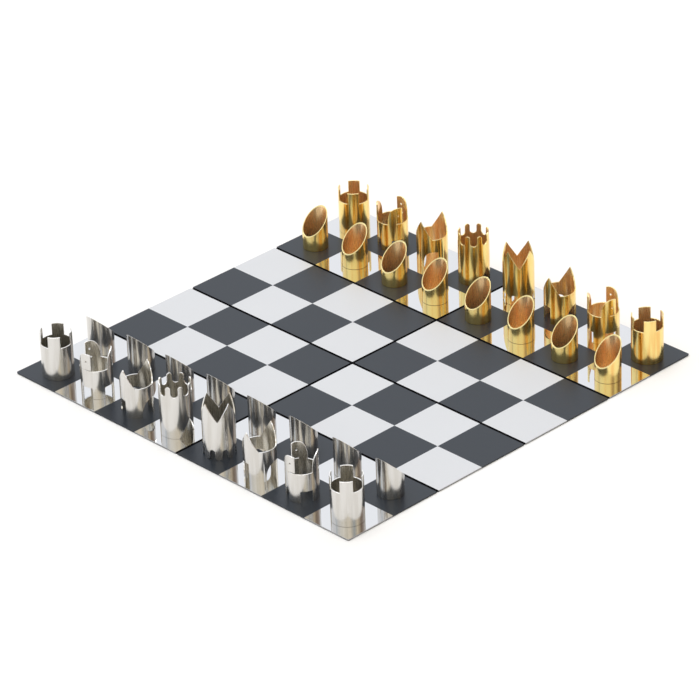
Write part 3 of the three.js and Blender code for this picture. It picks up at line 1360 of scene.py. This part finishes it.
class ChessmanMaker:
    """Cuts, rolls, eases and places chessmen."""

    EASE_SEGMENTS = 2

    def __init__(self, workshop: Workshop) -> None:
        """Sets up the roller and each side's finishes, in the order of FaceKind.

        Args:
            workshop: Places the pieces.
        """
        self.workshop = workshop
        self.roller = RollSheet()
        self.finishes = {
            Colourway.SILVER: (SILVER_WALL, SILVER_CUT, SILVER_BORE, SILVER_SHADED_FOOT),
            Colourway.GOLD: (GOLD_WALL, GOLD_CUT, GOLD_BORE, GOLD_SHADED_FOOT),
        }

    def make(self, man: Placement) -> bpy.types.Object:
        """Makes one chessman.

        Args:
            man: Which one, and how it is turned.

        Returns:
            The piece on its body.
        """
        low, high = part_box(man.node)
        height = round((high[2] - low[2]) / MM, 3)
        finishes = [self.workshop.shop.get(finish) for finish in self.finishes[man.side]]
        stock = PAWN_TUBE if man.man is Man.PAWN else MAIN_TUBE
        mesh = self.roller.run(
            self._sheet(man.man, stock, height).mesh(man.node),
            Outer_Radius=stock.radius,
            Turn=math.radians(man.turn),
            Wall=finishes[FaceKind.WALL.value],
        )
        mesh.materials.clear()
        for finish in finishes:
            mesh.materials.append(finish)
        self._ease(mesh, stock.ease)
        self._round(mesh)
        centre = ((low[0] + high[0]) / 2, (low[1] + high[1]) / 2, low[2])
        mesh.transform(Matrix.Translation(centre) @ Matrix.Scale(MM, 4))
        slot = f"{man.side.value}_tube"
        return self.workshop.place(f"{man.node}_tube", mesh, man.node, man.node, slot)

    @staticmethod
    def _sheet(man: Man, stock: TubeStock, height: float) -> CutSheet:
        """Cuts a chessman's flat sheet. A pawn's slanted rim is flat across the wall.

        Args:
            man: Which chessman.
            stock: The tube that it is cut from.
            height: Its height in millimetres.

        Returns:
            The cut sheet.
        """
        outlines = Outlines(stock, CUTS)
        bore = stock.radius - stock.wall

        def inner(angle: float, z: float) -> float:
            """Height of the bore's corner behind a corner of the wall."""
            return z if z < FOOT_BAND else outlines.pawn_rim(angle, bore, height)

        return CutSheet(
            stock, height, outlines.cut_list(man, height), inner if man is Man.PAWN else None
        )

    def _ease(self, mesh: bpy.types.Mesh, reach: float) -> None:
        """Rounds the rims where the wall meets a cut, and hands out the materials.

        Args:
            mesh: The rolled tube.
            reach: How far from a rim the rounding starts, in millimetres.
        """
        bm = bmesh.new()
        bm.from_mesh(mesh)
        bmesh.ops.recalc_face_normals(bm, faces=bm.faces)
        if bm.calc_volume(signed=True) < 0:
            bmesh.ops.reverse_faces(bm, faces=bm.faces)
        kind = bm.faces.layers.int["kind"]
        rims = [
            e for e in bm.edges
            if len(e.link_faces) == 2 and e.link_faces[0][kind] != e.link_faces[1][kind]
        ]
        for face in bevel(bm, rims, reach, self.EASE_SEGMENTS, clamp=True):
            face[kind] = FaceKind.EASED.value
        for face in bm.faces:
            face.material_index = face[kind]
            if face[kind] in (FaceKind.CUT.value, FaceKind.EASED.value):
                # Cut faces and rims at the foot take the dark foot finish, painted shade where the
                # tube meets the board.
                in_foot_shade = face.calc_center_median().z < SHADED_FOOT_LINE
                face.material_index = FaceKind.SHADED_FOOT.value if in_foot_shade else FaceKind.CUT.value
        crease(bm)
        bm.to_mesh(mesh)
        bm.free()

    @staticmethod
    def _round(mesh: bpy.types.Mesh) -> None:
        """Gives wall and bore the exact normals of a round tube.

        Args:
            mesh: The eased tube, about the Z axis.
        """
        facing = {FaceKind.WALL.value: 1.0, FaceKind.BORE.value: -1.0}
        normals = [corner.vector.copy() for corner in mesh.corner_normals]
        for face in mesh.polygons:
            sign = facing.get(face.material_index)
            for loop in face.loop_indices if sign else ():
                point = mesh.vertices[mesh.loops[loop].vertex_index].co
                normals[loop] = Vector((point.x, point.y, 0.0)).normalized() * sign
        mesh.normals_split_custom_set(normals)
        mesh.attributes.remove(mesh.attributes["kind"])


@dataclass(frozen=True)
class PanelSpec:
    """Layout of the panels, in metres and degrees."""

    rows: int = 4
    mirror_rows: tuple[int, ...] = (1, 4)
    files: int = 4
    ranks: int = 2
    board_corner: float = 0.0014
    seam_corner: float = 0.0006
    corner_segments: int = 8
    ease: float = 0.00006
    ease_segments: int = 2
    rim_angle: float = 60.0
    rim_band: float = 0.001
    touching: float = 1e-6


class PanelMaker:
    """Makes the eight panels: plate and backing."""

    def __init__(self, workshop: Workshop, spec: PanelSpec) -> None:
        """Sets up the coater, and measures how far out the rim of the board starts.

        Args:
            workshop: Places the pieces.
            spec: The panels' layout.
        """
        self.workshop = workshop
        self.spec = spec
        self.coater = CoatSquares()
        low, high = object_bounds()
        self.reach = tuple(min(-low[i], high[i]) - spec.rim_band for i in (0, 1))

    def make(self, row: int, side: str) -> None:
        """Makes one panel's two pieces.

        Args:
            row: 1 to 4, counted from the silver side.
            side: left or right.
        """
        get, spec = self.workshop.shop.get, self.spec
        body = f"panel_{row}_{side}"
        low, high = (Vector(p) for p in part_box(f"{body}_plate"))
        plate = self.coater.run(
            self._slab(low, high, spec.files, spec.ranks),
            Square=(high.x - low.x) / spec.files,
            Files=float(spec.files),
            Ranks=float(spec.ranks),
            Origin_X=low.x,
            Origin_Y=low.y,
            Reach_X=self.reach[0],
            Reach_Y=self.reach[1],
            Polished=get(MIRROR if row in spec.mirror_rows else SATIN),
            Coated=get(COATING),
            Edge=get(PLATE_EDGE),
            # Seam edges: near-black, painted shade of the gap between panels.
            Seam=get(SEAM_SHADE_EDGE),
        )
        self.workshop.place(f"{body}_coated_plate", plate, f"{body}_plate", body, "plate")
        low, high = (Vector(p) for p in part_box(f"{body}_backing"))
        sheet = self._slab(low, high, 1, 1)
        sheet.materials.append(get(BACKING))
        self.workshop.place(f"{body}_backing_sheet", sheet, f"{body}_backing", body, "backing")

    def _slab(self, low: Vector, high: Vector, files: int, ranks: int) -> bpy.types.Mesh:
        """Flat slab with rounded corners, eased edges and faces split at the squares.

        Args:
            low: Its lowest corner.
            high: Its highest corner.
            files: How many squares it has along X.
            ranks: How many it has along Y.

        Returns:
            Its mesh.
        """
        spec = self.spec
        bm = bmesh.new()
        self._build_block(bm, low, high, files, ranks)
        bmesh.ops.recalc_face_normals(bm, faces=bm.faces)
        for outer, radius in ((True, spec.board_corner), (False, spec.seam_corner)):
            uprights = [e for e in bm.edges if self._is_corner(e, low, high, outer)]
            bevel(bm, uprights, radius, spec.corner_segments)
        limit = math.radians(spec.rim_angle)
        rims = [e for e in bm.edges if len(e.link_faces) == 2 and e.calc_face_angle(0.0) > limit]
        bevel(bm, rims, spec.ease, spec.ease_segments)
        crease(bm)
        mesh = bpy.data.meshes.new("slab")
        bm.to_mesh(mesh)
        bm.free()
        return mesh

    @staticmethod
    def _build_block(
        bm: bmesh.types.BMesh, low: Vector, high: Vector, files: int, ranks: int
    ) -> None:
        """Closed block whose upper and lower faces are split at the squares.

        Args:
            bm: Takes the faces.
            low: The block's lowest corner.
            high: Its highest corner.
            files: How many squares it has along X.
            ranks: How many it has along Y.
        """
        size = high - low
        lower, upper = (
            [
                [
                    bm.verts.new((low.x + size.x * i / files, low.y + size.y * j / ranks, z))
                    for i in range(files + 1)
                ]
                for j in range(ranks + 1)
            ]
            for z in (low.z, high.z)
        )
        for grid in (lower, upper):
            for near, far in zip(grid, grid[1:]):
                for i in range(files):
                    bm.faces.new((near[i], near[i + 1], far[i + 1], far[i]))
        rim = [(0, i) for i in range(files)] + [(j, files) for j in range(ranks)]
        rim += [(ranks, i) for i in range(files, 0, -1)] + [(j, 0) for j in range(ranks, 0, -1)]
        for (j0, i0), (j1, i1) in zip(rim, [*rim[1:], rim[0]]):
            bm.faces.new((lower[j0][i0], lower[j1][i1], upper[j1][i1], upper[j0][i0]))

    def _is_corner(self, edge: bmesh.types.BMEdge, low: Vector, high: Vector, outer: bool) -> bool:
        """Whether an edge is one of the slab's four upright corners.

        Args:
            edge: The edge.
            low: The slab's lowest corner.
            high: Its highest corner.
            outer: True asks for a corner of the whole board, False for any other.

        Returns:
            Whether it is.
        """
        foot, head = (vertex.co for vertex in edge.verts)
        upright = abs(foot.z - head.z) > (high.z - low.z) / 2
        at_end = all(
            min(abs(foot[i] - low[i]), abs(foot[i] - high[i])) < self.spec.touching for i in (0, 1)
        )
        at_board_corner = all(abs(foot[i]) > self.reach[i] for i in (0, 1))
        return upright and at_end and at_board_corner == outer


# --------------------------------------------------------------------------
# Studio
# --------------------------------------------------------------------------
@dataclass(frozen=True)
class CameraRig:
    """A long lens looking down at the board from one corner, in degrees and metres."""

    azimuth: float = 46.49
    elevation: float = 29.08
    roll: float = -2.157
    distance: float = 3.306
    aim: Place = (-0.0158, 0.0130, 0.0013)
    lens: float = 221.9
    sensor: float = 36.0
    clip_end: float = 60.0


@dataclass(frozen=True)
class Lamp:
    """A round area lamp that points at the middle of the board."""

    name: str = "key"
    place: Place = (-1.0, 0.4, 3.2)
    size: float = 1.8
    watts: float = 20.0
    colour: Colour = (1.0, 0.99, 0.97)


@dataclass(frozen=True)
class Room:
    """The surroundings. Walls are a ramp over bearings, right of the camera positive.

    The rises are heights on a unit sphere between which one part turns into the next.
    """

    walls: tuple[tuple[float, Colour], ...] = (
        (-180.0, (0.97, 0.98, 1.0)),
        (-92.0, (0.95, 0.97, 1.0)),
        (-84.0, (0.55, 0.62, 0.68)),
        (-76.0, (0.94, 0.95, 0.96)),
        (-48.0, (0.98, 0.94, 0.84)),
        (15.0, (0.96, 0.86, 0.68)),
        (40.0, (0.40, 0.44, 0.44)),
        (62.0, (0.88, 0.76, 0.56)),
        (95.0, (0.24, 0.17, 0.12)),
        (125.0, (0.45, 0.38, 0.33)),
        (145.0, (0.92, 0.93, 0.95)),
        (180.0, (0.97, 0.98, 1.0)),
    )
    ceiling: Colour = (1.42, 1.42, 1.43)
    ceiling_rise: tuple[float, float] = (0.62, 0.86)
    zenith: Colour = (0.72, 0.73, 0.76)
    zenith_rise: tuple[float, float] = (0.93, 0.985)
    floor_radius: float = 14.0
    floor_segments: int = 96
    floor_drop: float = 0.00005


class Studio:
    """Floor, light and camera."""

    def __init__(self, shop: MaterialShop, rig: CameraRig, room: Room, lamp: Lamp) -> None:
        """Keeps what the studio is made of.

        Args:
            shop: Makes the floor's material.
            rig: The camera.
            room: The surroundings.
            lamp: The key light.
        """
        self.shop = shop
        self.rig = rig
        self.room = room
        self.lamp = lamp

    def build(self) -> None:
        """Sets up everything that isn't part of the object."""
        self._add_floor()
        self._add_world()
        self._add_lamp()
        self._add_camera()

    def _add_floor(self) -> None:
        """Round pale floor, a hair below the object."""
        bm = bmesh.new()
        bmesh.ops.create_circle(
            bm, cap_ends=True, segments=self.room.floor_segments, radius=self.room.floor_radius
        )
        mesh = bpy.data.meshes.new("floor")
        bm.to_mesh(mesh)
        bm.free()
        mesh.materials.append(self.shop.get(FLOOR))
        floor = bpy.data.objects.new("floor", mesh)
        floor.location.z = -self.room.floor_drop
        bpy.context.scene.collection.objects.link(floor)
        floor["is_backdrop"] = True

    def _add_world(self) -> None:
        """Walls that differ all round, under a bright ceiling with a dimmer middle."""
        room = self.room
        world = bpy.data.worlds.new("studio")
        world.use_nodes = True
        world.node_tree.nodes.clear()
        graph = Graph(world.node_tree)
        x, y, up = graph.split(graph.node("ShaderNodeTexCoord", output="Generated"))
        azimuth = math.radians(self.rig.azimuth)
        front = x * math.sin(azimuth) - y * math.cos(azimuth)
        right = x * math.cos(azimuth) + y * math.sin(azimuth)
        bearing = right.bearing(front) / math.pi * 0.5 + 0.5
        stops = [((degrees + 180.0) / FULL_TURN, colour) for degrees, colour in room.walls]
        sky = graph.node("ShaderNodeValToRGB", [bearing], stops=stops)
        sky = graph.blend(graph.ease_in(up, *room.ceiling_rise), sky, room.ceiling)
        sky = graph.blend(graph.ease_in(up, *room.zenith_rise), sky, room.zenith)
        shine = graph.node("ShaderNodeBackground", {"Color": sky, "Strength": 1.0})
        graph.node("ShaderNodeOutputWorld", {"Surface": shine})
        bpy.context.scene.world = world

    def _add_lamp(self) -> None:
        """Soft key light from high on the left, behind the board."""
        lamp = self.lamp
        light = bpy.data.lights.new(lamp.name, "AREA")
        light.shape = "DISK"
        light.size = lamp.size
        light.energy = lamp.watts
        light.color = lamp.colour
        holder = bpy.data.objects.new(lamp.name, light)
        holder.location = lamp.place
        holder.rotation_euler = (-Vector(lamp.place)).to_track_quat("-Z", "Y").to_euler()
        bpy.context.scene.collection.objects.link(holder)

    def _add_camera(self) -> None:
        """Camera that looks at the aim from the rig's direction, rolled about its view."""
        rig = self.rig
        azimuth, elevation, roll = map(math.radians, (rig.azimuth, rig.elevation, rig.roll))
        level = math.cos(elevation)
        back = Vector((math.sin(azimuth) * level, -math.cos(azimuth) * level, math.sin(elevation)))
        right = (-back).cross(Vector((0, 0, 1))).normalized()
        up = right.cross(-back)
        side = right * math.cos(roll) + up * math.sin(roll)
        top = up * math.cos(roll) - right * math.sin(roll)
        data = bpy.data.cameras.new("camera")
        data.lens = rig.lens
        data.sensor_width = rig.sensor
        data.clip_end = rig.clip_end
        camera = bpy.data.objects.new("camera", data)
        turn = Matrix((side, top, back)).transposed().to_4x4()
        camera.matrix_world = Matrix.Translation(Vector(rig.aim) + back * rig.distance) @ turn
        bpy.context.scene.collection.objects.link(camera)
        bpy.context.scene.camera = camera


def corners(box: Sequence[Sequence[float]]) -> list[list[float]]:
    """Two corners as plain lists."""
    return [[float(v) for v in point] for point in box]


def main() -> None:
    """Builds the whole scene."""
    cad_box = corners(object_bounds())
    shop = MaterialShop()
    workshop = Workshop(shop)
    chessmen = ChessmanMaker(workshop)
    for man in placements():
        chessmen.make(man)
    panels = PanelMaker(workshop, PanelSpec())
    for row in range(1, panels.spec.rows + 1):
        for side in ("left", "right"):
            panels.make(row, side)
    Studio(shop, CameraRig(), Room(), Lamp()).build()
    bpy.context.scene.view_settings.view_transform = "Standard"
    bpy.context.scene.view_settings.look = "None"
    bpy.context.view_layer.update()
    {"cad": cad_box, "visual": corners(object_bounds())}


if __name__ == "__main__":
    main()
